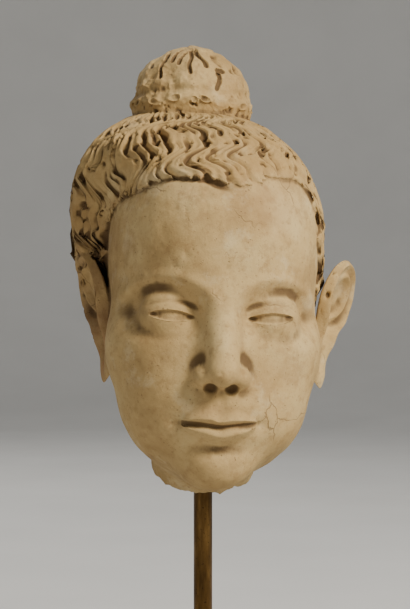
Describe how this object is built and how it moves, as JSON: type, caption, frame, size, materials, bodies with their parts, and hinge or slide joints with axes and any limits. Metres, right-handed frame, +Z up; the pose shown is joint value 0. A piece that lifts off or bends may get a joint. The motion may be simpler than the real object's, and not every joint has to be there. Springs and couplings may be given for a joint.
{
  "type": "stucco buddha head",
  "caption": "Stucco head of the Buddha with wavy hair tied in a top knot, broken at the neck and held up on a brass rod in a square wooden block.",
  "frame": {"origin": "centre of the block's flat underside", "axes": "+Z up along the rod, the face looks along -Y, +X to the viewer's right"},
  "size_m": [0.1879, 0.2255, 0.4361],
  "materials": {
    "stucco": "matt, weathered, with brown stains",
    "brass": "patinated satin",
    "stained_wood": "dark satin stain"
  },
  "bodies": {
    "root": {"head": "stucco", "rod": "brass", "block": "stained_wood"}
  },
  "joints": []
}
